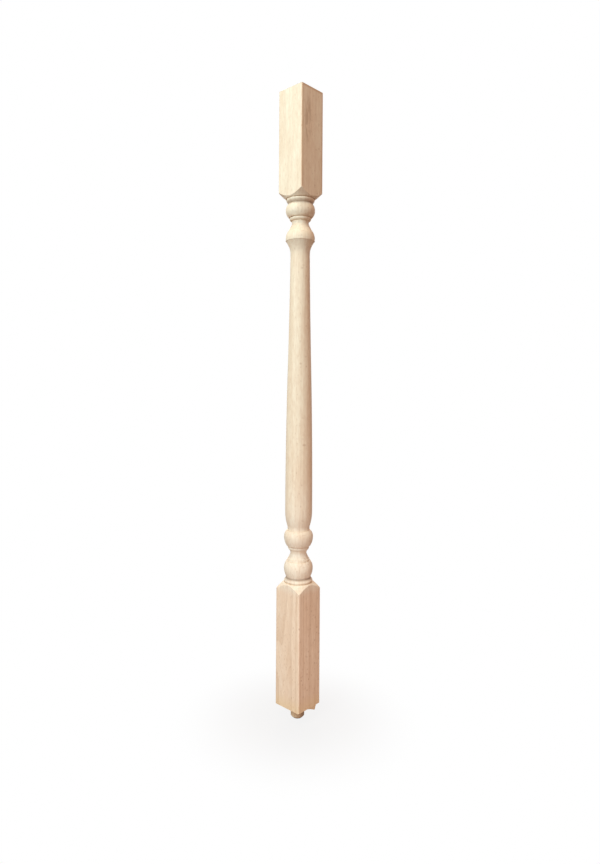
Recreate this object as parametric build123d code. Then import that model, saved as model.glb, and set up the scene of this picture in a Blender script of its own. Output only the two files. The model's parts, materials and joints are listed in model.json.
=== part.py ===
from build123d import *
import os

# Turned wooden baluster: one length of square stock, its middle turned between two square blocks,
# with a round pin turned on its lower end. Z runs up the length. The origin is at the centre of
# the lower block's end, where it sits on the tread. All sizes are in millimetres.

# Stock and blocks
stock_width = 44.45
edge_ease_radius = 1.6
body_length = 863.6
bottom_block_length = 162.4
top_block_length = 142.4

# Pin, and the hollows that the lathe's centres leave in both ends
pin_diameter = 19.05
pin_length = 19.05
pin_chamfer = 3.0
centre_mark_diameter = 5.0
centre_mark_depth = 3.5

# Shoulders, rings and grooves beside the blocks
lower_shoulder_height = 9.9
upper_shoulder_height = 9.0
shoulder_hollow = 0.1
ring_seat_cut = 1.4
ring_height = 4.4
ring_bulge = 1.1
ring_cut = 3.4
lower_groove_height = 4.0
upper_groove_height = 4.9
groove_cut = 4.8

# Low ball and fillet
low_ball_lower_height = 11.4
low_ball_upper_height = 9.9
low_ball_cut = 1.9
low_ball_bottom_cut = 4.6
low_ball_top_cut = 5.4
fillet_height = 3.0
fillet_cut = 6.7

# Lower cove and bead
lower_flare_height = 7.8
lower_flare_cut = 7.4
lower_neck_cut = 11.3
lower_neck_radius = 4.0
lower_neck_rise = 4.3
lower_bead_height = 6.2
lower_bead_bulge = 1.5
lower_bead_bottom_cut = 9.7
lower_bead_top_cut = 8.1

# High ball
high_ball_lower_height = 12.7
high_ball_upper_height = 9.0
high_ball_cut = 1.75
high_ball_bottom_cut = 5.4
high_ball_top_cut = 5.7

# Shaft, from the short neck on the high ball up to the collar
foot_neck_height = 5.2
foot_neck_cut = 6.7
foot_round_height = 21.3
shaft_belly_cut = 3.15
shaft_middle_cut = 5.7
shaft_top_cut = 8.5
shaft_hollow = 0.3
shaft_swell_share = 0.566
shaft_neck_height = 9.1

# Collar
undercut_height = 11.3
undercut_radius = 26.0
undercut_edge_cut = 2.35
collar_band_height = 4.2
collar_cut = 1.65
collar_round_height = 9.5
collar_top_cut = 4.6

# Upper cove and bead
upper_flare_height = 10.9
upper_flare_cut = 4.8
upper_neck_cut = 10.7
upper_neck_radius = 6.5
upper_neck_rise = 3.9
upper_bead_height = 5.0
upper_bead_bulge = 1.6
upper_bead_bottom_cut = 10.0
upper_bead_top_cut = 7.5

# Top ball
top_ball_lower_height = 9.8
top_ball_upper_height = 7.2
top_ball_cut = 1.5
top_ball_bottom_cut = 5.9
top_ball_top_cut = 3.3

# Radii worked out from the stock
half_width = stock_width / 2
corner_radius = half_width * 2 ** 0.5
swing_radius = corner_radius + edge_ease_radius
pin_radius = pin_diameter / 2

# Levels from the lower block upwards
lower_corner = bottom_block_length
lower_ring_bottom = lower_corner + lower_shoulder_height
lower_ring_top = lower_ring_bottom + ring_height
low_ball_bottom = lower_ring_top + lower_groove_height
low_ball_middle = low_ball_bottom + low_ball_lower_height
low_ball_top = low_ball_middle + low_ball_upper_height
fillet_top = low_ball_top + fillet_height
lower_neck = fillet_top + lower_flare_height
lower_bead_bottom = lower_neck + lower_neck_rise
high_ball_bottom = lower_bead_bottom + lower_bead_height
high_ball_middle = high_ball_bottom + high_ball_lower_height
high_ball_top = high_ball_middle + high_ball_upper_height
foot_neck_top = high_ball_top + foot_neck_height
shaft_belly = foot_neck_top + foot_round_height

# Levels from the upper block downwards
upper_corner = body_length - top_block_length
upper_ring_top = upper_corner - upper_shoulder_height
upper_ring_bottom = upper_ring_top - ring_height
top_ball_top = upper_ring_bottom - upper_groove_height
top_ball_middle = top_ball_top - top_ball_upper_height
top_ball_bottom = top_ball_middle - top_ball_lower_height
upper_bead_bottom = top_ball_bottom - upper_bead_height
upper_neck = upper_bead_bottom - upper_neck_rise
collar_top = upper_neck - upper_flare_height
collar_middle = collar_top - collar_round_height
collar_edge = collar_middle - collar_band_height
undercut_foot = collar_edge - undercut_height
shaft_top = undercut_foot - shaft_neck_height
shaft_middle = shaft_belly + (shaft_top - shaft_belly) * shaft_swell_share


def at(cut, height):
    """Point of the outline at a depth of cut, measured in from the flats, and a height."""
    return (half_width - cut, height)


def bulged(start, end, bulge):
    """Arc up the outline that stands out from its chord, or hollows it where bulge is negative."""
    return SagittaArc(start, end, -bulge)


def half_ball(cut, middle, end_cut, end):
    """Arc from a ball's widest circle up or down to its end."""
    return TangentArc(at(cut, middle), at(end_cut, end), tangent=(0, end - middle))


def pin_and_lower_block():
    """Axis, chamfered pin, and the lower block as it spins, out to its corners' circle."""
    return [
        Polyline(
            (0, -pin_length),
            (pin_radius - pin_chamfer, -pin_length),
            (pin_radius, pin_chamfer - pin_length),
            (pin_radius, 0),
            (swing_radius, 0),
            (swing_radius, lower_corner),
            (corner_radius, lower_corner),
        ),
        bulged(
            (corner_radius, lower_corner),
            at(ring_seat_cut, lower_ring_bottom),
            -shoulder_hollow,
        ),
    ]


def lower_ring_and_low_ball():
    """Ring, groove, low ball and the square-edged fillet on it."""
    return [
        Line(at(ring_seat_cut, lower_ring_bottom), at(ring_cut, lower_ring_bottom)),
        bulged(at(ring_cut, lower_ring_bottom), at(ring_cut, lower_ring_top), ring_bulge),
        Polyline(
            at(ring_cut, lower_ring_top),
            at(groove_cut, lower_ring_top + lower_groove_height / 2),
            at(low_ball_bottom_cut, low_ball_bottom),
        ),
        half_ball(low_ball_cut, low_ball_middle, low_ball_bottom_cut, low_ball_bottom),
        half_ball(low_ball_cut, low_ball_middle, low_ball_top_cut, low_ball_top),
        Polyline(
            at(low_ball_top_cut, low_ball_top),
            at(fillet_cut, low_ball_top),
            at(fillet_cut, fillet_top),
            at(lower_flare_cut, fillet_top),
        ),
    ]


def lower_cove_and_high_ball():
    """Cove with its narrow neck, bead and high ball."""
    return [
        FilletPolyline(
            at(lower_flare_cut, fillet_top),
            at(lower_neck_cut, lower_neck),
            at(lower_bead_bottom_cut, lower_bead_bottom),
            radius=lower_neck_radius,
        ),
        bulged(
            at(lower_bead_bottom_cut, lower_bead_bottom),
            at(lower_bead_top_cut, high_ball_bottom),
            lower_bead_bulge,
        ),
        Line(at(lower_bead_top_cut, high_ball_bottom), at(high_ball_bottom_cut, high_ball_bottom)),
        half_ball(high_ball_cut, high_ball_middle, high_ball_bottom_cut, high_ball_bottom),
        half_ball(high_ball_cut, high_ball_middle, high_ball_top_cut, high_ball_top),
        Line(at(high_ball_top_cut, high_ball_top), at(foot_neck_cut, high_ball_top)),
    ]


def shaft():
    """Short neck, rounded foot, and the long taper that swells below and hollows above."""
    hollow = bulged(at(shaft_middle_cut, shaft_middle), at(shaft_top_cut, shaft_top), -shaft_hollow)
    swell = TangentArc(hollow @ 0, at(shaft_belly_cut, shaft_belly), tangent=-(hollow % 0))
    foot = TangentArc(swell @ 1, at(foot_neck_cut, foot_neck_top), tangent=swell % 1)
    neck = Line(at(foot_neck_cut, foot_neck_top), at(foot_neck_cut, high_ball_top))
    return [neck, foot, swell, hollow]


def collar():
    """Undercut running out of the shaft, the collar's sharp lower edge, and its rounded side."""
    return [
        FilletPolyline(
            at(shaft_top_cut, shaft_top),
            at(shaft_top_cut, undercut_foot),
            at(undercut_edge_cut, collar_edge),
            radius=undercut_radius,
        ),
        Polyline(
            at(undercut_edge_cut, collar_edge),
            at(collar_cut, collar_edge),
            at(collar_cut, collar_middle),
        ),
        half_ball(collar_cut, collar_middle, collar_top_cut, collar_top),
        Line(at(collar_top_cut, collar_top), at(upper_flare_cut, collar_top)),
    ]


def upper_cove_and_top_ball():
    """Cove with its narrow neck, bead, top ball, groove and ring."""
    return [
        FilletPolyline(
            at(upper_flare_cut, collar_top),
            at(upper_neck_cut, upper_neck),
            at(upper_bead_bottom_cut, upper_bead_bottom),
            radius=upper_neck_radius,
        ),
        bulged(
            at(upper_bead_bottom_cut, upper_bead_bottom),
            at(upper_bead_top_cut, top_ball_bottom),
            upper_bead_bulge,
        ),
        Line(at(upper_bead_top_cut, top_ball_bottom), at(top_ball_bottom_cut, top_ball_bottom)),
        half_ball(top_ball_cut, top_ball_middle, top_ball_bottom_cut, top_ball_bottom),
        half_ball(top_ball_cut, top_ball_middle, top_ball_top_cut, top_ball_top),
        Polyline(
            at(top_ball_top_cut, top_ball_top),
            at(groove_cut, top_ball_top + upper_groove_height / 2),
            at(ring_cut, upper_ring_bottom),
        ),
        bulged(at(ring_cut, upper_ring_bottom), at(ring_cut, upper_ring_top), ring_bulge),
        Line(at(ring_cut, upper_ring_top), at(ring_seat_cut, upper_ring_top)),
    ]


def upper_block():
    """Upper shoulder, the block as it spins, and the axis back to the pin's end."""
    return [
        bulged(
            at(ring_seat_cut, upper_ring_top),
            (corner_radius, upper_corner),
            -shoulder_hollow,
        ),
        Polyline(
            (corner_radius, upper_corner),
            (swing_radius, upper_corner),
            (swing_radius, body_length),
            (0, body_length),
            (0, -pin_length),
        ),
    ]


def turned_form():
    """Everything that the lathe leaves, with the blocks still round."""
    outline = Curve() + [
        *pin_and_lower_block(),
        *lower_ring_and_low_ball(),
        *lower_cove_and_high_ball(),
        *shaft(),
        *collar(),
        *upper_cove_and_top_ball(),
        *upper_block(),
    ]
    return revolve(Plane.XZ * make_face(outline), Axis.Z)


def square_stock():
    """The planed stock with its four long edges eased."""
    length = body_length + pin_length
    stock = Pos(0, 0, -pin_length) * Box(
        stock_width, stock_width, length, align=(Align.CENTER, Align.CENTER, Align.MIN)
    )
    return fillet(stock.edges().filter_by(Axis.Z), edge_ease_radius)


def centre_mark():
    """Hollow of a lathe centre, its point down and its mouth on the XY plane."""
    hollow = Cone(0, centre_mark_diameter / 2, centre_mark_depth)
    return Pos(0, 0, -centre_mark_depth / 2) * hollow


top_mark = Pos(0, 0, body_length) * centre_mark()
pin_mark = Pos(0, 0, -pin_length) * Rot(180, 0, 0) * centre_mark()
baluster = (turned_form() & square_stock()) - top_mark - pin_mark
baluster.label = "baluster"

os.makedirs("parts", exist_ok=True)
export_step(baluster, "parts/baluster.step")
print("baluster volume in cm3:", round(baluster.volume / 1000, 1))
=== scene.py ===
import json
import math
import random

import bmesh
import bpy
from mathutils import Matrix, Vector


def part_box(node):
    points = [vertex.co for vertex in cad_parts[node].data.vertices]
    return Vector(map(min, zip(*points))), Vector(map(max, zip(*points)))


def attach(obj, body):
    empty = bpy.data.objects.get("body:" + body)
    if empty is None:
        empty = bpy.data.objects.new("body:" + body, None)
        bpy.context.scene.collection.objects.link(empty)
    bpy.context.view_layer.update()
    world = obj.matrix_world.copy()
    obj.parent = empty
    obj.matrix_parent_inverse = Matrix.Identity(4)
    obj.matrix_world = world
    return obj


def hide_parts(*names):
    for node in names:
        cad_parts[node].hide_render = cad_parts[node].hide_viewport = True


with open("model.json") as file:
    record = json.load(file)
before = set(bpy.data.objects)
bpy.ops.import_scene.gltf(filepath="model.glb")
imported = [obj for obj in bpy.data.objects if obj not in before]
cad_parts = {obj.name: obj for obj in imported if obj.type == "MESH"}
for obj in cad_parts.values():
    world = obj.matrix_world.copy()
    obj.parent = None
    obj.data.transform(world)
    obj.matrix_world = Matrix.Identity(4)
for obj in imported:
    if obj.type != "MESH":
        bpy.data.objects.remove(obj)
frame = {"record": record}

# The frame's boxes and mounts are in metres. The sizes below are millimetres, as on a drawing.
MM = 0.001
MATH, VECTOR = "ShaderNodeMath", "ShaderNodeVectorMath"
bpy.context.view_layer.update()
box_low, box_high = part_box("baluster")
pin_size = {m["name"]: m for m in frame["record"]["mounts"]}["bottom_pin"]["dims"]

# Stock and blocks
stock_width = (box_high.x - box_low.x) / MM
edge_ease_radius = 1.6
body_length = box_high.z / MM
bottom_block_length = 162.4
top_block_length = 142.4

# Pin, and the hollows that the lathe's centres leave in both ends
pin_radius = pin_size["r_mm"]
pin_length = -box_low.z / MM
pin_chamfer = pin_length - pin_size["length_mm"]
centre_mark_radius = 2.5
centre_mark_depth = 3.5

# Shoulders, rings and grooves beside the blocks
lower_shoulder_height = 9.9
upper_shoulder_height = 9.0
shoulder_hollow = 0.1
ring_seat_cut = 1.4
ring_height = 4.4
ring_bulge = 1.1
ring_cut = 3.4
lower_groove_height = 4.0
upper_groove_height = 4.9
groove_cut = 4.8

# Low ball and fillet
low_ball_lower_height = 11.4
low_ball_upper_height = 9.9
low_ball_cut = 1.9
low_ball_bottom_cut = 4.6
low_ball_top_cut = 5.4
fillet_height = 3.0
fillet_cut = 6.7

# Lower cove and bead
lower_flare_height = 7.8
lower_flare_cut = 7.4
lower_neck_cut = 11.3
lower_neck_radius = 4.0
lower_neck_rise = 4.3
lower_bead_height = 6.2
lower_bead_bulge = 1.5
lower_bead_bottom_cut = 9.7
lower_bead_top_cut = 8.1

# High ball
high_ball_lower_height = 12.7
high_ball_upper_height = 9.0
high_ball_cut = 1.75
high_ball_bottom_cut = 5.4
high_ball_top_cut = 5.7

# Shaft, from the short neck on the high ball up to the collar
foot_neck_height = 5.2
foot_neck_cut = 6.7
foot_round_height = 21.3
shaft_belly_cut = 3.15
shaft_middle_cut = 5.7
shaft_top_cut = 8.5
shaft_hollow = 0.3
shaft_swell_share = 0.566
shaft_neck_height = 9.1

# Collar
undercut_height = 11.3
undercut_radius = 26.0
undercut_edge_cut = 2.35
collar_band_height = 4.2
collar_cut = 1.65
collar_round_height = 9.5
collar_top_cut = 4.6

# Upper cove and bead
upper_flare_height = 10.9
upper_flare_cut = 4.8
upper_neck_cut = 10.7
upper_neck_radius = 6.5
upper_neck_rise = 3.9
upper_bead_height = 5.0
upper_bead_bulge = 1.6
upper_bead_bottom_cut = 10.0
upper_bead_top_cut = 7.5

# Top ball
top_ball_lower_height = 9.8
top_ball_upper_height = 7.2
top_ball_cut = 1.5
top_ball_bottom_cut = 5.9
top_ball_top_cut = 3.3

# Radii worked out from the stock
half_width = stock_width / 2
corner_radius = half_width * 2 ** 0.5
swing_radius = corner_radius + edge_ease_radius

# Levels from the lower block upwards
lower_corner = bottom_block_length
lower_ring_bottom = lower_corner + lower_shoulder_height
lower_ring_top = lower_ring_bottom + ring_height
low_ball_bottom = lower_ring_top + lower_groove_height
low_ball_middle = low_ball_bottom + low_ball_lower_height
low_ball_top = low_ball_middle + low_ball_upper_height
fillet_top = low_ball_top + fillet_height
lower_neck = fillet_top + lower_flare_height
lower_bead_bottom = lower_neck + lower_neck_rise
high_ball_bottom = lower_bead_bottom + lower_bead_height
high_ball_middle = high_ball_bottom + high_ball_lower_height
high_ball_top = high_ball_middle + high_ball_upper_height
foot_neck_top = high_ball_top + foot_neck_height
shaft_belly = foot_neck_top + foot_round_height

# Levels from the upper block downwards
upper_corner = body_length - top_block_length
upper_ring_top = upper_corner - upper_shoulder_height
upper_ring_bottom = upper_ring_top - ring_height
top_ball_top = upper_ring_bottom - upper_groove_height
top_ball_middle = top_ball_top - top_ball_upper_height
top_ball_bottom = top_ball_middle - top_ball_lower_height
upper_bead_bottom = top_ball_bottom - upper_bead_height
upper_neck = upper_bead_bottom - upper_neck_rise
collar_top = upper_neck - upper_flare_height
collar_middle = collar_top - collar_round_height
collar_edge = collar_middle - collar_band_height
undercut_foot = collar_edge - undercut_height
shaft_top = undercut_foot - shaft_neck_height
shaft_middle = shaft_belly + (shaft_top - shaft_belly) * shaft_swell_share

# What the sandpaper takes off each turned corner, never more than a share of a side, and how
# far the painted shade in a groove reaches past it
sanded_edge = 0.3
sanded_share = 0.4
groove_shade_spread = 0.7

# How finely the mesh follows the outline, and how it is shared round each eighth of the turn
outline_step = 0.6
shoulder_step = 0.35
shaft_step = 6.0
steps_over_flat = 4
steps_over_eased_edge = 3
steps_over_turning = 15
merge_distance = 0.0015
sharp_from_degrees = 28

# Tongue of torn fibres under the -Y face. It starts at an X and runs to the +X side, hangs
# lowest at the peak's share of its width, and is thinner at its tip and at its short side.
fibre_start = -6.0
fibre_width = 20.6
fibre_length = 7.0
fibre_peak = 0.86
fibre_rise_power = 1.5
fibre_fall_share = 0.12
fibre_fall_power = 0.6
fibre_unevenness = 0.12
fibre_root = 0.8
fibre_thickness = 1.5
fibre_tip_thinning = 0.7
fibre_side_thinning = 0.65
fibre_inset = 0.12
fibre_curl = 0.4
fibre_lean = 0.3
fibre_columns = 40
fibre_rows = 10
fibre_sharp_degrees = 50


def at(cut, height):
    """Point of the outline at a depth of cut, measured in from the flats, and a height."""
    return Vector((half_width - cut, height))


def outward(chord):
    """The side of a chord that faces away from the axis, where the chord runs upwards."""
    return Vector((chord.y, -chord.x))


def leaving(start, end, bulge):
    """Direction in which the arc from start to end with that bulge leaves its start."""
    chord = end - start
    turn = 2 * math.atan2(2 * bulge, chord.length)
    return math.cos(turn) * chord + math.sin(turn) * outward(chord)


def bulge_along(start, end, tangent):
    """Bulge of the arc from start to end that leaves its start along a tangent."""
    chord = end - start
    turn = math.atan2(tangent.dot(outward(chord)), tangent.dot(chord))
    return chord.length / 2 * math.tan(turn / 2)


class Outline:
    """The half outline as a row of points, radius and height, from the pin's end to the top."""

    def __init__(self, *points):
        self.points = [Vector(point) for point in points]

    def to(self, *points):
        self.points += [Vector(point) for point in points]

    def arc(self, end, bulge, step=outline_step, crowd=1):
        """Arc that stands out from its chord by bulge, or hollows it where bulge is negative.

        Its points are even, or with a crowd of 2 closer at its start, or of -2 at its end.
        """
        start, end = self.points[-1], Vector(end)
        chord = end - start
        along, out = chord.normalized(), outward(chord).normalized()
        radius = (chord.length ** 2 / 4 + bulge ** 2) / (2 * bulge)
        centre = (start + end) / 2 + out * (bulge - radius)
        half_angle = math.asin(chord.length / 2 / radius)
        count = max(4, math.ceil(chord.length / step))
        for number in range(1, count):
            share = number / count
            share = share ** crowd if crowd > 0 else 1 - (1 - share) ** -crowd
            angle = half_angle * (2 * share - 1)
            self.to(centre + radius * (math.sin(angle) * along + math.cos(angle) * out))
        self.to(end)

    def up_to_widest(self, end):
        """Lower half of a ball, upright where it reaches the ball's widest circle."""
        self.arc(end, -bulge_along(end, self.points[-1], Vector((0, -1))))

    def up_from_widest(self, end):
        """Upper half of a ball, upright where it leaves the ball's widest circle."""
        self.arc(end, bulge_along(self.points[-1], end, Vector((0, 1))))

    def rounded(self, corner, end, radius):
        """Straight to a corner, rounded to a radius, and straight on to end."""
        back, on = (self.points[-1] - corner).normalized(), (end - corner).normalized()
        half_turn = (math.pi - back.angle(on)) / 2
        first, last = (corner + way * radius * math.tan(half_turn) for way in (back, on))
        side = (corner - (first + last) / 2).dot(outward(last - first))
        self.to(first)
        self.arc(last, math.copysign(radius * (1 - math.cos(half_turn)), side))
        self.to(end)

    def sanded(self, reach, from_degrees):
        """The points with each corner that sandpaper takes off rounded to that reach."""
        points = [self.points[0]]
        for before, corner, after in zip(self.points, self.points[1:], self.points[2:]):
            back, on = before - corner, after - corner
            if math.degrees(math.pi - back.angle(on)) < from_degrees:
                points.append(corner)
                continue
            first = corner + back.normalized() * min(reach, back.length * sanded_share)
            last = corner + on.normalized() * min(reach, on.length * sanded_share)
            points += [first, (first + 2 * corner + last) / 4, last]
        return points + [self.points[-1]]


def baluster_outline():
    """Pin, lower block, turning and upper block, the blocks out to their spinning corners."""
    line = Outline(
        (0, centre_mark_depth - pin_length),
        (centre_mark_radius, -pin_length),
        (pin_radius - pin_chamfer, -pin_length),
        (pin_radius, pin_chamfer - pin_length),
        (pin_radius, 0),
        (swing_radius, 0),
        (swing_radius, lower_corner),
        (corner_radius, lower_corner),
    )

    # Lower shoulder, ring, groove, low ball and fillet
    seat = at(ring_seat_cut, lower_ring_bottom)
    line.arc(seat, -shoulder_hollow, shoulder_step, crowd=-2)
    line.to(at(ring_cut, lower_ring_bottom))
    line.arc(at(ring_cut, lower_ring_top), ring_bulge)
    line.to(at(groove_cut, lower_ring_top + lower_groove_height / 2))
    line.to(at(low_ball_bottom_cut, low_ball_bottom))
    line.up_to_widest(at(low_ball_cut, low_ball_middle))
    line.up_from_widest(at(low_ball_top_cut, low_ball_top))
    line.to(at(fillet_cut, low_ball_top), at(fillet_cut, fillet_top))
    line.to(at(lower_flare_cut, fillet_top))

    # Lower cove, bead and high ball
    bead_foot = at(lower_bead_bottom_cut, lower_bead_bottom)
    line.rounded(at(lower_neck_cut, lower_neck), bead_foot, lower_neck_radius)
    line.arc(at(lower_bead_top_cut, high_ball_bottom), lower_bead_bulge)
    line.to(at(high_ball_bottom_cut, high_ball_bottom))
    line.up_to_widest(at(high_ball_cut, high_ball_middle))
    line.up_from_widest(at(high_ball_top_cut, high_ball_top))
    line.to(at(foot_neck_cut, high_ball_top))

    # Shaft: each arc below the hollow runs on smoothly from the one above it
    neck, belly = at(foot_neck_cut, foot_neck_top), at(shaft_belly_cut, shaft_belly)
    middle, top = at(shaft_middle_cut, shaft_middle), at(shaft_top_cut, shaft_top)
    swell_bulge = -bulge_along(middle, belly, -leaving(middle, top, -shaft_hollow))
    foot_bulge = -bulge_along(belly, neck, -leaving(belly, middle, swell_bulge))
    line.to(neck)
    line.arc(belly, foot_bulge)
    line.arc(middle, swell_bulge, shaft_step)
    line.arc(top, -shaft_hollow, shaft_step)

    # Undercut and collar
    edge = at(undercut_edge_cut, collar_edge)
    line.rounded(at(shaft_top_cut, undercut_foot), edge, undercut_radius)
    line.to(at(collar_cut, collar_edge), at(collar_cut, collar_middle))
    line.up_from_widest(at(collar_top_cut, collar_top))
    line.to(at(upper_flare_cut, collar_top))

    # Upper cove, bead and top ball
    bead_foot = at(upper_bead_bottom_cut, upper_bead_bottom)
    line.rounded(at(upper_neck_cut, upper_neck), bead_foot, upper_neck_radius)
    line.arc(at(upper_bead_top_cut, top_ball_bottom), upper_bead_bulge)
    line.to(at(top_ball_bottom_cut, top_ball_bottom))
    line.up_to_widest(at(top_ball_cut, top_ball_middle))
    line.up_from_widest(at(top_ball_top_cut, top_ball_top))

    # Groove, ring, upper shoulder and upper block
    line.to(at(groove_cut, top_ball_top + upper_groove_height / 2))
    line.to(at(ring_cut, upper_ring_bottom))
    line.arc(at(ring_cut, upper_ring_top), ring_bulge)
    line.to(at(ring_seat_cut, upper_ring_top))
    line.arc((corner_radius, upper_corner), -shoulder_hollow, shoulder_step, crowd=2)
    line.to((swing_radius, upper_corner), (swing_radius, body_length))
    line.to((centre_mark_radius, body_length), (0, body_length - centre_mark_depth))
    return line.sanded(sanded_edge, sharp_from_degrees)


def add(tree, kind, inputs=None, **settings):
    """Adds a node. Inputs go by name or number, and each is a value, a socket, or a node."""
    node = tree.nodes.new(kind)
    for name, value in settings.items():
        setattr(node, name, value)
    for key, value in (inputs or {}).items():
        if isinstance(value, bpy.types.Node):
            value = value.outputs[0]
        if isinstance(value, bpy.types.NodeSocket):
            tree.links.new(value, node.inputs[key])
        else:
            node.inputs[key].default_value = value
    return node


def turning_tree():
    """Geometry Nodes that turn an outline on the lathe and cut it back to the planed stock.

    The mesh is a grid, a row for each point of the outline and columns round the turn. At each
    point the radius is the smaller of the turned one and the planed stock's. The columns of a
    row are spaced over the flat, the eased edge and the turning, so that a line of edges lies
    along each arris. A row that lacks one of these three has its columns there merged.
    """
    tree = bpy.data.node_groups.new("turning between square blocks", "GeometryNodeTree")
    sizes = {
        "Half width": "NodeSocketFloat",
        "Eased edge": "NodeSocketFloat",
        "Flat steps": "NodeSocketFloat",
        "Edge steps": "NodeSocketFloat",
        "Turned steps": "NodeSocketFloat",
        "Merge distance": "NodeSocketFloat",
        "Sharp angle": "NodeSocketFloat",
        "Wood": "NodeSocketMaterial",
    }
    tree.interface.new_socket("Geometry", in_out="INPUT", socket_type="NodeSocketGeometry")
    for name, kind in sizes.items():
        tree.interface.new_socket(name, in_out="INPUT", socket_type=kind)
    tree.interface.new_socket("Geometry", in_out="OUTPUT", socket_type="NodeSocketGeometry")
    given = add(tree, "NodeGroupInput").outputs
    half, eased = given["Half width"], given["Eased edge"]

    # Grid with a row for each outline point
    octant = add(tree, MATH, {0: given["Flat steps"], 1: given["Edge steps"]}, operation="ADD")
    octant = add(tree, MATH, {0: octant, 1: given["Turned steps"]}, operation="ADD")
    face = add(tree, MATH, {0: octant, 1: 2.0}, operation="MULTIPLY")
    turn = add(tree, MATH, {0: face, 1: 4.0, 2: 1.0}, operation="MULTIPLY_ADD")
    rows = add(tree, "GeometryNodeAttributeDomainSize", {"Geometry": given["Geometry"]})
    grid = add(
        tree,
        "GeometryNodeMeshGrid",
        {"Vertices X": rows.outputs["Point Count"], "Vertices Y": turn},
    )
    index = add(tree, "GeometryNodeInputIndex")
    row = add(tree, MATH, {0: index, 1: turn}, operation="DIVIDE")
    row = add(tree, MATH, {0: row}, operation="FLOOR")
    column = add(tree, MATH, {0: index, 1: turn}, operation="MODULO")
    point = add(tree, "GeometryNodeInputPosition")
    point = add(
        tree,
        "GeometryNodeSampleIndex",
        {"Geometry": given["Geometry"], "Value": point, "Index": row},
        data_type="FLOAT_VECTOR",
    )
    point = add(tree, "ShaderNodeSeparateXYZ", {0: point})
    turned, height = point.outputs["X"], point.outputs["Z"]

    # Where the flat ends, the circle of the eased edge, and the angle of a whole octant
    eighth = math.pi / 4
    flat = add(tree, MATH, {0: half, 1: eased}, operation="SUBTRACT")
    flat_angle = add(tree, MATH, {0: flat, 1: half}, operation="ARCTAN2")
    centre_reach = add(tree, MATH, {0: flat, 1: math.sqrt(2)}, operation="MULTIPLY")
    flat_squared = add(tree, MATH, {0: flat, 1: flat}, operation="MULTIPLY")
    flat_end = add(tree, MATH, {0: half, 1: half, 2: flat_squared}, operation="MULTIPLY_ADD")
    flat_end = add(tree, MATH, {0: flat_end}, operation="SQRT")

    # Angle of the arris: on the flat, and where the turning is wider, on the eased edge
    share = add(tree, MATH, {0: half, 1: turned}, operation="DIVIDE")
    share = add(tree, MATH, {0: share, 1: 1.0}, operation="MINIMUM")
    on_flat = add(tree, MATH, {0: share}, operation="ARCCOSINE")
    on_flat = add(tree, MATH, {0: on_flat, 1: flat_angle}, operation="MINIMUM")
    wide = add(tree, MATH, {0: turned, 1: flat_end}, operation="MAXIMUM")
    above = add(tree, MATH, {0: wide, 1: wide}, operation="MULTIPLY")
    above = add(tree, MATH, {0: centre_reach, 1: centre_reach, 2: above}, operation="MULTIPLY_ADD")
    eased_squared = add(tree, MATH, {0: eased, 1: eased}, operation="MULTIPLY")
    above = add(tree, MATH, {0: above, 1: eased_squared}, operation="SUBTRACT")
    below = add(tree, MATH, {0: wide, 1: centre_reach}, operation="MULTIPLY")
    below = add(tree, MATH, {0: below, 1: 2.0}, operation="MULTIPLY")
    share = add(tree, MATH, {0: above, 1: below}, operation="DIVIDE")
    share = add(tree, MATH, {0: share, 1: 1.0}, operation="MINIMUM")
    on_edge = add(tree, MATH, {0: share}, operation="ARCCOSINE")
    on_edge = add(tree, MATH, {0: eighth, 1: on_edge}, operation="SUBTRACT")
    on_edge = add(tree, MATH, {0: on_edge, 1: flat_angle}, operation="SUBTRACT")
    on_edge = add(tree, MATH, {0: on_edge, 1: 0.0}, operation="MAXIMUM")
    arris = add(tree, MATH, {0: on_flat, 1: on_edge}, operation="ADD")

    # Nearest face, and the column's place from its middle to the corner
    nearest = add(tree, MATH, {0: column, 1: face}, operation="DIVIDE")
    nearest = add(tree, MATH, {0: nearest}, operation="ROUND")
    place = add(tree, MATH, {0: nearest, 1: face}, operation="MULTIPLY")
    place = add(tree, MATH, {0: column, 1: place}, operation="SUBTRACT")
    side = add(tree, MATH, {0: place}, operation="SIGN")
    place = add(tree, MATH, {0: place}, operation="ABSOLUTE")

    # Angle from the face's middle: flat columns crowd towards the edge, the others are even
    over_flat = add(
        tree, MATH, {0: place, 1: given["Flat steps"]}, operation="DIVIDE", use_clamp=True
    )
    over_flat = add(tree, MATH, {0: 1.0, 1: over_flat}, operation="SUBTRACT")
    over_flat = add(tree, MATH, {0: over_flat, 1: 3.0}, operation="POWER")
    over_flat = add(tree, MATH, {0: 1.0, 1: over_flat}, operation="SUBTRACT")
    over_edge = add(tree, MATH, {0: place, 1: given["Flat steps"]}, operation="SUBTRACT")
    over_turning = add(tree, MATH, {0: over_edge, 1: given["Edge steps"]}, operation="SUBTRACT")
    over_edge = add(
        tree, MATH, {0: over_edge, 1: given["Edge steps"]}, operation="DIVIDE", use_clamp=True
    )
    over_turning = add(
        tree, MATH, {0: over_turning, 1: given["Turned steps"]}, operation="DIVIDE", use_clamp=True
    )
    left_over = add(tree, MATH, {0: eighth, 1: arris}, operation="SUBTRACT")
    angle = add(tree, MATH, {0: over_flat, 1: on_flat}, operation="MULTIPLY")
    angle = add(tree, MATH, {0: over_edge, 1: on_edge, 2: angle}, operation="MULTIPLY_ADD")
    angle = add(tree, MATH, {0: over_turning, 1: left_over, 2: angle}, operation="MULTIPLY_ADD")

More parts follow.
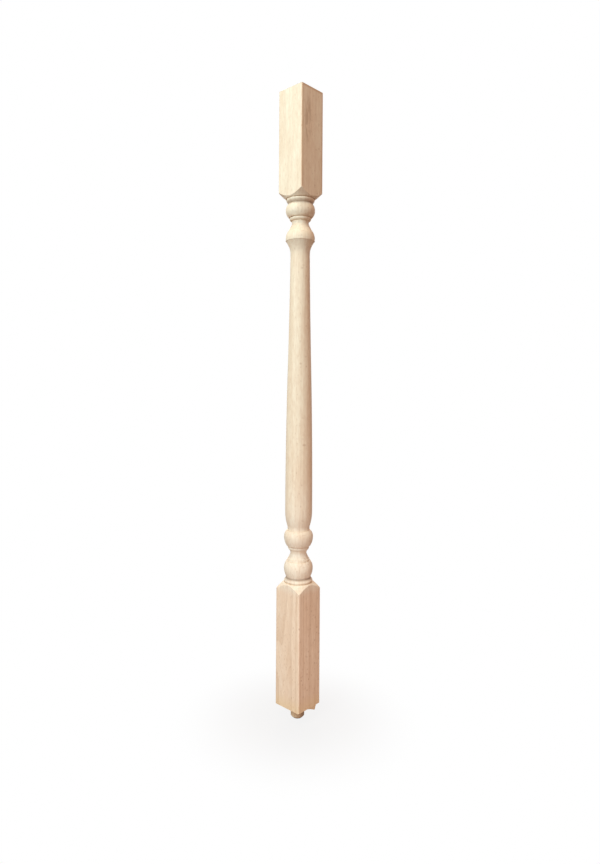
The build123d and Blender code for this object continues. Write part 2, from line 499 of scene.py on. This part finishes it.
    # Planed radius at that angle: the flat's, or the eased edge's past the flat's end
    cosine = add(tree, MATH, {0: angle}, operation="COSINE")
    on_plane = add(tree, MATH, {0: half, 1: cosine}, operation="DIVIDE")
    from_corner = add(tree, MATH, {0: eighth, 1: angle}, operation="SUBTRACT")
    offset = add(tree, MATH, {0: from_corner}, operation="SINE")
    offset = add(tree, MATH, {0: offset, 1: centre_reach}, operation="MULTIPLY")
    offset = add(tree, MATH, {0: offset, 1: offset}, operation="MULTIPLY")
    offset = add(tree, MATH, {0: eased_squared, 1: offset}, operation="SUBTRACT")
    offset = add(tree, MATH, {0: offset, 1: 0.0}, operation="MAXIMUM")
    offset = add(tree, MATH, {0: offset}, operation="SQRT")
    cosine = add(tree, MATH, {0: from_corner}, operation="COSINE")
    on_round = add(tree, MATH, {0: cosine, 1: centre_reach, 2: offset}, operation="MULTIPLY_ADD")
    past_flat = add(tree, MATH, {0: angle, 1: flat_angle}, operation="GREATER_THAN")
    planed = add(
        tree, "ShaderNodeMix", {0: past_flat, 2: on_plane, 3: on_round}, data_type="FLOAT"
    )
    radius = add(tree, MATH, {0: planed, 1: turned}, operation="MINIMUM")

    # Place in space, and the outline's painted groove shade carried over to each row
    quarter = math.pi / 2
    angle = add(tree, MATH, {0: angle, 1: side}, operation="MULTIPLY")
    angle = add(tree, MATH, {0: nearest, 1: quarter, 2: angle}, operation="MULTIPLY_ADD")
    cosine = add(tree, MATH, {0: angle}, operation="COSINE")
    sine = add(tree, MATH, {0: angle}, operation="SINE")
    across = add(tree, MATH, {0: cosine, 1: radius}, operation="MULTIPLY")
    deep = add(tree, MATH, {0: sine, 1: radius}, operation="MULTIPLY")
    place = add(tree, "ShaderNodeCombineXYZ", {"X": across, "Y": deep, "Z": height})
    brown = add(tree, "GeometryNodeInputNamedAttribute", {"Name": "burnish"})
    brown = add(
        tree,
        "GeometryNodeSampleIndex",
        {"Geometry": given["Geometry"], "Value": brown, "Index": row},
    )
    mesh = add(
        tree,
        "GeometryNodeStoreNamedAttribute",
        {"Geometry": grid, "Name": "burnish", "Value": brown},
    )
    mesh = add(tree, "GeometryNodeSetPosition", {"Geometry": mesh, "Position": place})
    mesh = add(
        tree,
        "GeometryNodeMergeByDistance",
        {"Geometry": mesh, "Distance": given["Merge distance"]},
    )

    # Smooth along the turning and sharp at each arris
    bend = add(tree, "GeometryNodeInputMeshEdgeAngle")
    soft = add(tree, MATH, {0: bend, 1: given["Sharp angle"]}, operation="LESS_THAN")
    mesh = add(tree, "GeometryNodeSetShadeSmooth", {"Geometry": mesh}, domain="FACE")
    mesh = add(
        tree,
        "GeometryNodeSetShadeSmooth",
        {"Geometry": mesh, "Shade Smooth": soft},
        domain="EDGE",
    )
    mesh = add(tree, "GeometryNodeRealizeInstances", {"Geometry": mesh})
    mesh = add(
        tree, "GeometryNodeSetMaterial", {"Geometry": mesh, "Material": given["Wood"]}
    )
    add(tree, "NodeGroupOutput", {"Geometry": mesh})
    return tree


def burnish(height):
    """Share of painted shade in the two grooves, darkest at each groove's middle."""
    lower = lower_ring_top + lower_groove_height / 2
    upper = top_ball_top + upper_groove_height / 2
    lower_share = 1 - abs(height - lower) / (lower_groove_height / 2 + groove_shade_spread)
    upper_share = 1 - abs(height - upper) / (upper_groove_height / 2 + groove_shade_spread)
    return max(0, lower_share, upper_share)


def outline_mesh():
    """The outline as a mesh of points joined in a row, in the XZ plane, with the painted shade of
    its grooves.
    """
    outline = baluster_outline()
    points = [(point.x * MM, 0, point.y * MM) for point in outline]
    mesh = bpy.data.meshes.new("baluster outline")
    mesh.from_pydata(points, [(i, i + 1) for i in range(len(points) - 1)], [])
    brown = mesh.attributes.new("burnish", "FLOAT", "POINT")
    for number, point in enumerate(outline):
        brown.data[number].value = burnish(point.y)
    return mesh


def turned_baluster(wood):
    """The whole baluster as one plain mesh, its place in its vertices."""
    maker = bpy.data.objects.new("outline on the lathe", outline_mesh())
    bpy.context.scene.collection.objects.link(maker)
    modifier = maker.modifiers.new("turning", "NODES")
    modifier.node_group = turning_tree()
    values = {
        "Half width": half_width * MM,
        "Eased edge": edge_ease_radius * MM,
        "Flat steps": steps_over_flat,
        "Edge steps": steps_over_eased_edge,
        "Turned steps": steps_over_turning,
        "Merge distance": merge_distance * MM,
        "Sharp angle": math.radians(sharp_from_degrees),
        "Wood": wood,
    }
    for item in modifier.node_group.interface.items_tree:
        if item.in_out == "INPUT" and item.name in values:
            modifier[item.identifier] = values[item.name]
    graph = bpy.context.evaluated_depsgraph_get()
    mesh = bpy.data.meshes.new_from_object(maker.evaluated_get(graph))
    maker.modifiers.remove(modifier)
    bpy.data.objects.remove(maker)
    mesh.name = "turned_baluster"
    piece = bpy.data.objects.new("turned_baluster", mesh)
    bpy.context.scene.collection.objects.link(piece)
    return piece


def torn_fibre(wood):
    """Tongue of fibres that the saw tore down off the -Y face's lower edge, still hanging.

    Its columns run down the grain and end unevenly. It is thickest at the edge that it hangs
    from, where its root goes a little way up inside the block, and it curls in at its tip.
    """
    chance = random.Random(5)
    front, back = [], []
    for column in range(fibre_columns + 1):
        share = column / fibre_columns
        rise = min(1, (share / fibre_peak) ** fibre_rise_power)
        fall = min(1, ((1 - share) / fibre_fall_share) ** fibre_fall_power)
        length = fibre_length * rise * fall * (1 - fibre_unevenness * chance.random())
        side_thickness = fibre_thickness * (1 - fibre_side_thinning * (1 - fall))
        for row in range(fibre_rows + 1):
            down = row / fibre_rows
            x = fibre_start + fibre_width * share - fibre_lean * down ** 2
            y = fibre_inset + fibre_curl * down ** 2 - half_width
            z = fibre_root - down * (fibre_root + length)
            thick = side_thickness * (1 - fibre_tip_thinning * down)
            front.append((x * MM, y * MM, z * MM))
            back.append((x * MM, (y + thick) * MM, z * MM))
    mesh = bpy.data.meshes.new("torn_fibre")
    mesh.from_pydata(front + back, [], [])
    shell = bmesh.new()
    shell.from_mesh(mesh)
    shell.verts.ensure_lookup_table()
    around = ((0, 0), (1, 0), (1, 1), (0, 1))

    def corner(column, row, side):
        return shell.verts[side * len(front) + column * (fibre_rows + 1) + row]

    for column in range(fibre_columns):
        for row in range(fibre_rows):
            ring = [(column + across, row + down) for down, across in around]
            shell.faces.new([corner(*place, 0) for place in ring])
            shell.faces.new([corner(*place, 1) for place in reversed(ring)])
        for row in (0, fibre_rows):
            shell.faces.new([corner(column + across, row, side) for across, side in around])
    for row in range(fibre_rows):
        for column in (0, fibre_columns):
            shell.faces.new([corner(column, row + down, side) for down, side in around])
    bmesh.ops.recalc_face_normals(shell, faces=shell.faces)
    shell.to_mesh(mesh)
    shell.free()
    mesh.materials.append(wood)
    mesh.shade_smooth()
    mesh.set_sharp_from_angle(angle=math.radians(fibre_sharp_degrees))
    piece = bpy.data.objects.new("torn_fibre", mesh)
    bpy.context.scene.collection.objects.link(piece)
    return piece


def linear(hex_colour):
    """Linear RGBA of an sRGB hex colour."""
    channels = [int(hex_colour[i : i + 2], 16) / 255 for i in (1, 3, 5)]
    return [
        c / 12.92 if c <= 0.04045 else ((c + 0.055) / 1.055) ** 2.4 for c in channels
    ] + [1.0]


def new_material(name):
    """Material with an empty tree."""
    material = bpy.data.materials.new(name)
    material.use_nodes = True
    material.node_tree.nodes.clear()
    return material


# Beech as it grows. The pith lay past the -X face, so the two X faces are flat sawn and the
# two Y faces show straight growth lines. A ring's width changes with the depth in the tree.
pith_place = (-86.0, 17.0)
grain_lean_degrees = (0.5, -0.7)
wander_width = 38.0
wander_length = 260.0
wander_reach = 9.0
growth_ring_width = 5.0
ring_changes_per_mm = 0.13
ring_unevenness = 2.2
ray_thickness = 1.4
ray_depth = 12.0
ray_height = 5.0
pore_width = 1.7
pore_length = 9.0
pore_depth = 0.03
cloud_width = 3.4
cloud_length = 11.0
broad_width = 13.0
broad_length = 75.0

# Levels at which a slow change of tone along the baluster starts and where it is full
whiter_levels = (350.0, 230.0)
rosy_levels = (169.0, 156.0)
yellowed_levels = (22.0, 0.0)

# Wavy figure on the upper block's -Y face, and the brown border of that face, from its edges
figure_centre = (-9.5, -22.2, 818.0)
figure_reach = (8.0, 8.0, 44.0)
figure_width = 6.0
figure_length = 17.0
border_starts = 4.2
border_full = 1.6

# Painted shade on the pin, from its paler side to its darker one, and how near the pin it stays
pin_shade_least = 0.1
pin_shade_more = 0.6
pin_shade_full = 1.4
pin_shade_margin = 1.0
pin_shade_below = -0.2


def planed_beech():
    """Beech, planed on the flats and sanded on the lathe, with no finish on it.

    It is pale and matt with a faint rosy cast. Growth rings give soft brown lines down the
    faces, rays give short dark flecks on the flat-sawn sides and pale bands on the others, and
    fine pores give a silky streak along the grain. The rays and pores of real beech are far
    thinner than a pixel here, so both are drawn several times as thick as they grow.
    """
    material = new_material("planed beech")
    tree = material.node_tree

    # Place on the baluster in millimetres, and in the wood, measured from the pith, with a
    # slow wander in it
    place = add(tree, "ShaderNodeTexCoord").outputs["Object"]
    place = add(tree, VECTOR, {0: place, "Scale": 1 / MM}, operation="SCALE")
    spot = add(tree, "ShaderNodeSeparateXYZ", {0: place}).outputs
    grown = add(
        tree,
        "ShaderNodeMapping",
        {
            "Vector": place,
            "Location": (-pith_place[0], -pith_place[1], 0),
            "Rotation": [math.radians(degrees) for degrees in (*grain_lean_degrees, 0)],
        },
    )
    size = (1 / wander_width, 1 / wander_width, 1 / wander_length)
    wander = add(tree, VECTOR, {0: grown, 1: size}, operation="MULTIPLY")
    wander = add(tree, "ShaderNodeTexNoise", {"Vector": wander, "Scale": 1.0, "Detail": 2.0})
    wander = wander.outputs["Color"]
    wander = add(tree, VECTOR, {0: wander, 1: (0.5, 0.5, 0.5)}, operation="SUBTRACT")
    reach = (wander_reach, wander_reach, 0)
    wander = add(tree, VECTOR, {0: wander, 1: reach}, operation="MULTIPLY")
    grown = add(tree, VECTOR, {0: grown, 1: wander}, operation="ADD")
    parts = add(tree, "ShaderNodeSeparateXYZ", {0: grown}).outputs
    flat = add(tree, VECTOR, {0: grown, 1: (1, 1, 0)}, operation="MULTIPLY")
    depth = add(tree, VECTOR, {0: flat}, operation="LENGTH").outputs["Value"]

    # Growth rings of uneven width, each with a darker line at its outer side
    width = add(tree, MATH, {0: depth, 1: ring_changes_per_mm}, operation="MULTIPLY")
    width = add(tree, "ShaderNodeTexNoise", {"W": width, "Scale": 1.0}, noise_dimensions="1D")
    rings = add(tree, MATH, {0: depth, 1: 1 / growth_ring_width}, operation="MULTIPLY")
    rings = add(tree, MATH, {0: width, 1: ring_unevenness, 2: rings}, operation="MULTIPLY_ADD")
    rings = add(tree, MATH, {0: rings}, operation="FRACT")
    late, early = [
        add(
            tree,
            "ShaderNodeMapRange",
            {"Value": rings, "From Min": start, "From Max": full},
            interpolation_type="SMOOTHSTEP",
        )
        for start, full in ((0.35, 0.9), (1.0, 0.93))
    ]
    late = add(tree, MATH, {0: late, 1: early}, operation="MULTIPLY")

    # Rays: thin plates that stand along the grain and point at the pith
    bearing = add(tree, MATH, {0: parts["Y"], 1: parts["X"]}, operation="ARCTAN2")
    round_pith = math.hypot(*pith_place) / ray_thickness
    bearing = add(tree, MATH, {0: bearing, 1: round_pith}, operation="MULTIPLY")
    outwards = add(tree, MATH, {0: depth, 1: 1 / ray_depth}, operation="MULTIPLY")
    upwards = add(tree, MATH, {0: parts["Z"], 1: 1 / ray_height}, operation="MULTIPLY")
    rays = add(tree, "ShaderNodeCombineXYZ", {0: bearing, 1: outwards, 2: upwards})
    rays = add(tree, "ShaderNodeTexVoronoi", {"Vector": rays, "Scale": 1.0})
    chance = add(tree, "ShaderNodeSeparateXYZ", {0: rays.outputs["Color"]}).outputs["X"]
    chance = add(
        tree, "ShaderNodeMapRange", {"Value": chance, "From Min": 0.5, "From Max": 1.0}
    )
    fleck = add(
        tree,
        "ShaderNodeMapRange",
        {"Value": rays.outputs["Distance"], "From Min": 0.42, "From Max": 0.12},
        interpolation_type="SMOOTHSTEP",
    )
    fleck = add(tree, MATH, {0: fleck, 1: chance}, operation="MULTIPLY")

    # Pores, short clouds, and the broad light and dark of the board
    noises = []
    for across, along, detail in (
        (pore_width, pore_length, 3.0),
        (cloud_width, cloud_length, 3.0),
        (broad_width, broad_length, 2.0),
    ):
        size = (1 / across, 1 / across, 1 / along)
        noise = add(tree, VECTOR, {0: grown, 1: size}, operation="MULTIPLY")
        noise = {"Vector": noise, "Scale": 1.0, "Detail": detail}
        noises.append(add(tree, "ShaderNodeTexNoise", noise))
    pores, clouds, broad = noises
    pores, clouds = [
        add(tree, "ShaderNodeMapRange", {"Value": noise, "From Min": 0.35, "From Max": 0.65})
        for noise in (pores, clouds)
    ]
    broad = add(
        tree,
        "ShaderNodeMapRange",
        {"Value": broad, "From Min": 0.3, "From Max": 0.7},
        interpolation_type="SMOOTHSTEP",
    )

    # How far the surface cuts across the fibres: end grain drinks in light
    normal = add(tree, "ShaderNodeTexCoord").outputs["Normal"]
    normal = add(tree, "ShaderNodeSeparateXYZ", {0: normal}).outputs["Z"]
    end_grain = add(tree, MATH, {0: normal, 1: 2.0}, operation="POWER")
    end_grain = add(
        tree, "ShaderNodeMapRange", {"Value": end_grain, "From Min": 0.6, "From Max": 1.0}
    )

    # Along the baluster: whiter lower turnings, a rosy lower block, yellowed at its end
    whiter, rosy, yellowed = [
        add(
            tree,
            "ShaderNodeMapRange",
            {"Value": spot["Z"], "From Min": start, "From Max": full},
            interpolation_type="SMOOTHSTEP",
        )
        for start, full in (whiter_levels, rosy_levels, yellowed_levels)
    ]

    # Wavy figure, fading out all round its centre
    size = (1 / figure_width, 1 / figure_width, 1 / figure_length)
    wave = add(tree, VECTOR, {0: place, 1: size}, operation="MULTIPLY")
    wave = {"Vector": wave, "Scale": 1.0, "Detail": 1.0, "Distortion": 0.8}
    wave = add(tree, "ShaderNodeTexNoise", wave)
    wave = add(
        tree,
        "ShaderNodeMapRange",
        {"Value": wave, "From Min": 0.35, "From Max": 0.62},
        interpolation_type="SMOOTHSTEP",
    )
    away = add(tree, VECTOR, {0: place, 1: figure_centre}, operation="SUBTRACT")
    away = add(tree, VECTOR, {0: away, 1: figure_reach}, operation="DIVIDE")
    away = add(tree, VECTOR, {0: away}, operation="LENGTH").outputs["Value"]
    figure = add(
        tree,
        "ShaderNodeMapRange",
        {"Value": away, "From Min": 1.0, "From Max": 0.5},
        interpolation_type="SMOOTHSTEP",
    )
    figure = add(tree, MATH, {0: wave, 1: figure}, operation="MULTIPLY")

    # Brown border along the arrises and the top of the upper block's -Y face
    edge = add(tree, MATH, {0: spot["X"]}, operation="ABSOLUTE")
    edge = add(tree, MATH, {0: half_width, 1: edge}, operation="SUBTRACT")
    from_top = add(tree, MATH, {0: body_length, 1: spot["Z"]}, operation="SUBTRACT")
    edge = add(tree, MATH, {0: edge, 1: from_top}, operation="MINIMUM")
    border = add(
        tree,
        "ShaderNodeMapRange",
        {"Value": edge, "From Min": border_starts, "From Max": border_full},
        interpolation_type="SMOOTHSTEP",
    )
    high = add(tree, MATH, {0: spot["Z"], 1: upper_corner}, operation="GREATER_THAN")
    on_face = add(tree, MATH, {0: spot["Y"], 1: 1.0 - half_width}, operation="LESS_THAN")
    border = add(tree, MATH, {0: border, 1: high}, operation="MULTIPLY")
    border = add(tree, MATH, {0: border, 1: on_face}, operation="MULTIPLY")

    # Painted shade on the pin: darker all round, and most on the side away from the -X face and
    # the key lamp
    pin_painted_shade = add(tree, MATH, {0: spot["X"], 1: spot["Y"]}, operation="SUBTRACT")
    pin_painted_shade = add(
        tree,
        "ShaderNodeMapRange",
        {"Value": pin_painted_shade, "From Min": -pin_radius, "From Max": pin_radius * pin_shade_full},
    )
    pin_painted_shade = add(tree, MATH, {0: pin_painted_shade, 1: pin_shade_more, 2: pin_shade_least}, operation="MULTIPLY_ADD")
    under = add(tree, MATH, {0: spot["Z"], 1: pin_shade_below}, operation="LESS_THAN")
    pin_painted_shade = add(tree, MATH, {0: pin_painted_shade, 1: under}, operation="MULTIPLY")
    axis = add(tree, VECTOR, {0: place, 1: (1, 1, 0)}, operation="MULTIPLY")
    axis = add(tree, VECTOR, {0: axis}, operation="LENGTH").outputs["Value"]
    near = add(tree, MATH, {0: axis, 1: pin_radius + pin_shade_margin}, operation="LESS_THAN")
    pin_painted_shade = add(tree, MATH, {0: pin_painted_shade, 1: near}, operation="MULTIPLY")
    groove_shade_share = add(tree, "ShaderNodeAttribute", attribute_name="burnish").outputs["Fac"]

    # Growth lines and flecks stand out more on the rosy lower block
    line_strength, fleck_strength = [
        add(tree, MATH, {0: rosy, 1: more, 2: least}, operation="MULTIPLY_ADD")
        for more, least in ((0.15, 0.10), (0.26, 0.30))
    ]

    # Colour: the pale ground, and over it each tone by its pattern and its strength
    colour = linear("#F0DFC3")
    for pattern, strength, tone in (
        (whiter, 1.0, "#F0E3CC"),
        (rosy, 1.0, "#EED7BC"),
        (broad, 0.26, "#DCB896"),
        (clouds, 0.22, "#D6B08C"),
        (late, line_strength, "#B88C62"),
        (pores, 0.14, "#B98E63"),
        (fleck, fleck_strength, "#A8794F"),
        (end_grain, 0.35, "#C29B6F"),
        (figure, 0.35, "#A37B56"),
        (border, 0.45, "#C08A58"),
        (yellowed, 0.4, "#E2C28C"),
        # Painted shade: the pin darkened, most on its side away from the light
        (pin_painted_shade, 1.0, "#7A5030"),
        # Painted shade: the two grooves darkened where shade falls in them
        (groove_shade_share, 0.7, "#7A5030"),
    ):
        share = add(tree, MATH, {0: pattern, 1: strength}, operation="MULTIPLY")
        inputs = {0: share, 6: colour, 7: linear(tone)}
        colour = add(tree, "ShaderNodeMix", inputs, data_type="RGBA").outputs[2]

    # Surface: pores a few hundredths of a millimetre deep
    relief = add(tree, MATH, {0: pores, 1: fleck}, operation="ADD")
    relief = add(
        tree,
        "ShaderNodeBump",
        {"Height": relief, "Distance": pore_depth * MM, "Strength": 0.6},
        invert=True,
    )
    surface = add(
        tree,
        "ShaderNodeBsdfPrincipled",
        {"Base Color": colour, "Roughness": 0.62, "IOR": 1.5, "Normal": relief},
    )
    surface.inputs["Specular IOR Level"].default_value = 0.3
    add(tree, "ShaderNodeOutputMaterial", {"Surface": surface})
    return material


# Floor card, in metres: half its side, its gap under the pin's end, and how near and how far
# from the axis the camera sees some of its real shade, which holds the shadow
card_reach = 3.0
card_gap = 0.0005
shade_near = 0.03
shade_far = 0.18
white_where_near = 0.87


def matt_card():
    """Matt grey card. It and the backdrop show as white, and it still takes the shadow."""
    material = new_material("matt grey card")
    tree = material.node_tree
    seen = add(tree, "ShaderNodeLightPath").outputs["Is Camera Ray"]
    place = add(tree, "ShaderNodeTexCoord").outputs["Object"]
    away = add(tree, VECTOR, {0: place}, operation="LENGTH").outputs["Value"]
    share = {"Value": away, "From Min": shade_near, "From Max": shade_far}
    share |= {"To Min": white_where_near, "To Max": 1.0}
    share = add(tree, "ShaderNodeMapRange", share, interpolation_type="SMOOTHSTEP")
    lit = add(tree, "ShaderNodeBsdfDiffuse", {"Color": linear("#90847E")})
    white = add(tree, "ShaderNodeEmission", {"Color": linear("#FFFFFF"), "Strength": 1.0})
    share = add(tree, MATH, {0: seen, 1: share}, operation="MULTIPLY")
    shown = add(tree, "ShaderNodeMixShader", {0: share, 1: lit, 2: white})
    add(tree, "ShaderNodeOutputMaterial", {"Surface": shown})
    return material


def floor():
    """Card under the baluster, which stands on it with its pin's end."""
    mesh = bpy.data.meshes.new("floor")
    level = box_low.z - card_gap
    corners = ((-1, -1), (1, -1), (1, 1), (-1, 1))
    corners = [(x * card_reach, y * card_reach, level) for x, y in corners]
    mesh.from_pydata(corners, [], [(0, 1, 2, 3)])
    mesh.materials.append(matt_card())
    card = bpy.data.objects.new("floor", mesh)
    bpy.context.scene.collection.objects.link(card)


def backdrop():
    """World that the camera, gloss and glass see as white, and that lights softly."""
    world = bpy.data.worlds.new("studio")
    bpy.context.scene.world = world
    world.use_nodes = True
    tree = world.node_tree
    tree.nodes.clear()
    path = add(tree, "ShaderNodeLightPath").outputs
    seen = {0: path["Is Camera Ray"], 1: path["Is Glossy Ray"]}
    seen = add(tree, MATH, seen, operation="MAXIMUM")
    seen = add(tree, MATH, {0: seen, 1: path["Is Transmission Ray"]}, operation="MAXIMUM")
    soft = add(tree, "ShaderNodeBackground", {"Color": linear("#FFDCCC"), "Strength": 0.555})
    white = add(tree, "ShaderNodeBackground", {"Color": linear("#FFFFFF"), "Strength": 1.0})
    shown = add(tree, "ShaderNodeMixShader", {0: seen, 1: soft, 2: white})
    add(tree, "ShaderNodeOutputWorld", {"Surface": shown})


def lamp(name, place, target, size, watts, colour):
    """Square soft box at a place, turned to face a target."""
    light = bpy.data.lights.new(name, "AREA")
    light.shape = "SQUARE"
    light.size = size
    light.energy = watts
    light.color = linear(colour)[:3]
    box = bpy.data.objects.new(name, light)
    box.location = place
    box.rotation_euler = (Vector(target) - Vector(place)).to_track_quat("-Z", "Y").to_euler()
    box.visible_camera = False
    bpy.context.scene.collection.objects.link(box)


# Camera of the photograph: level, at half the baluster's height, looking at its near arris
camera_bearing = math.radians(47.3)
camera_distance = 0.8635
camera_height = 0.4525
camera_focal_pixels = 609.9
camera_centre_pixels = (299.42, 383.0)
camera_roll = math.radians(0.341)
image_width, image_height = 600, 864


def camera():
    """Camera at the photograph's place, its shift only what the framing needs."""
    data = bpy.data.cameras.new("camera")
    data.sensor_width = 36.0
    data.lens = camera_focal_pixels * data.sensor_width / image_height
    data.shift_x = (image_width / 2 - camera_centre_pixels[0]) / image_height
    data.shift_y = (camera_centre_pixels[1] - image_height / 2) / image_height
    view = bpy.data.objects.new("camera", data)
    bpy.context.scene.collection.objects.link(view)
    back = Vector((-math.sin(camera_bearing), -math.cos(camera_bearing), 0))
    view.location = back * camera_distance + Vector((0, 0, camera_height))
    turn = Matrix.Rotation(camera_roll, 4, "Z")
    view.rotation_euler = ((-back).to_track_quat("-Z", "Y").to_matrix().to_4x4() @ turn).to_euler()
    bpy.context.scene.camera = view


camera()
backdrop()
floor()

# Soft boxes: place and target in metres, side in metres, watts and colour
lamp("key", (-1.20, -0.06, 1.08), (0, 0, 0.40), 0.5, 17.2, "#CCEFFF")
lamp("high fill", (-0.60, -0.36, 2.30), (0, 0, 0.45), 0.5, 12.5, "#FFF6E4")
lamp("low fill", (-0.27, -0.32, 0.07), (0, 0, 0.06), 0.25, 0.68, "#F6EDF0")
lamp("back fill", (1.10, 1.02, 1.00), (0, 0, 0.4), 0.7, 16.9, "#FFF6EC")

bpy.context.scene.view_settings.view_transform = "Standard"

wood = planed_beech()
baluster = turned_baluster(wood)
fibre = torn_fibre(wood)
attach(fibre, "root")
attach(baluster, "root")
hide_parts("baluster")
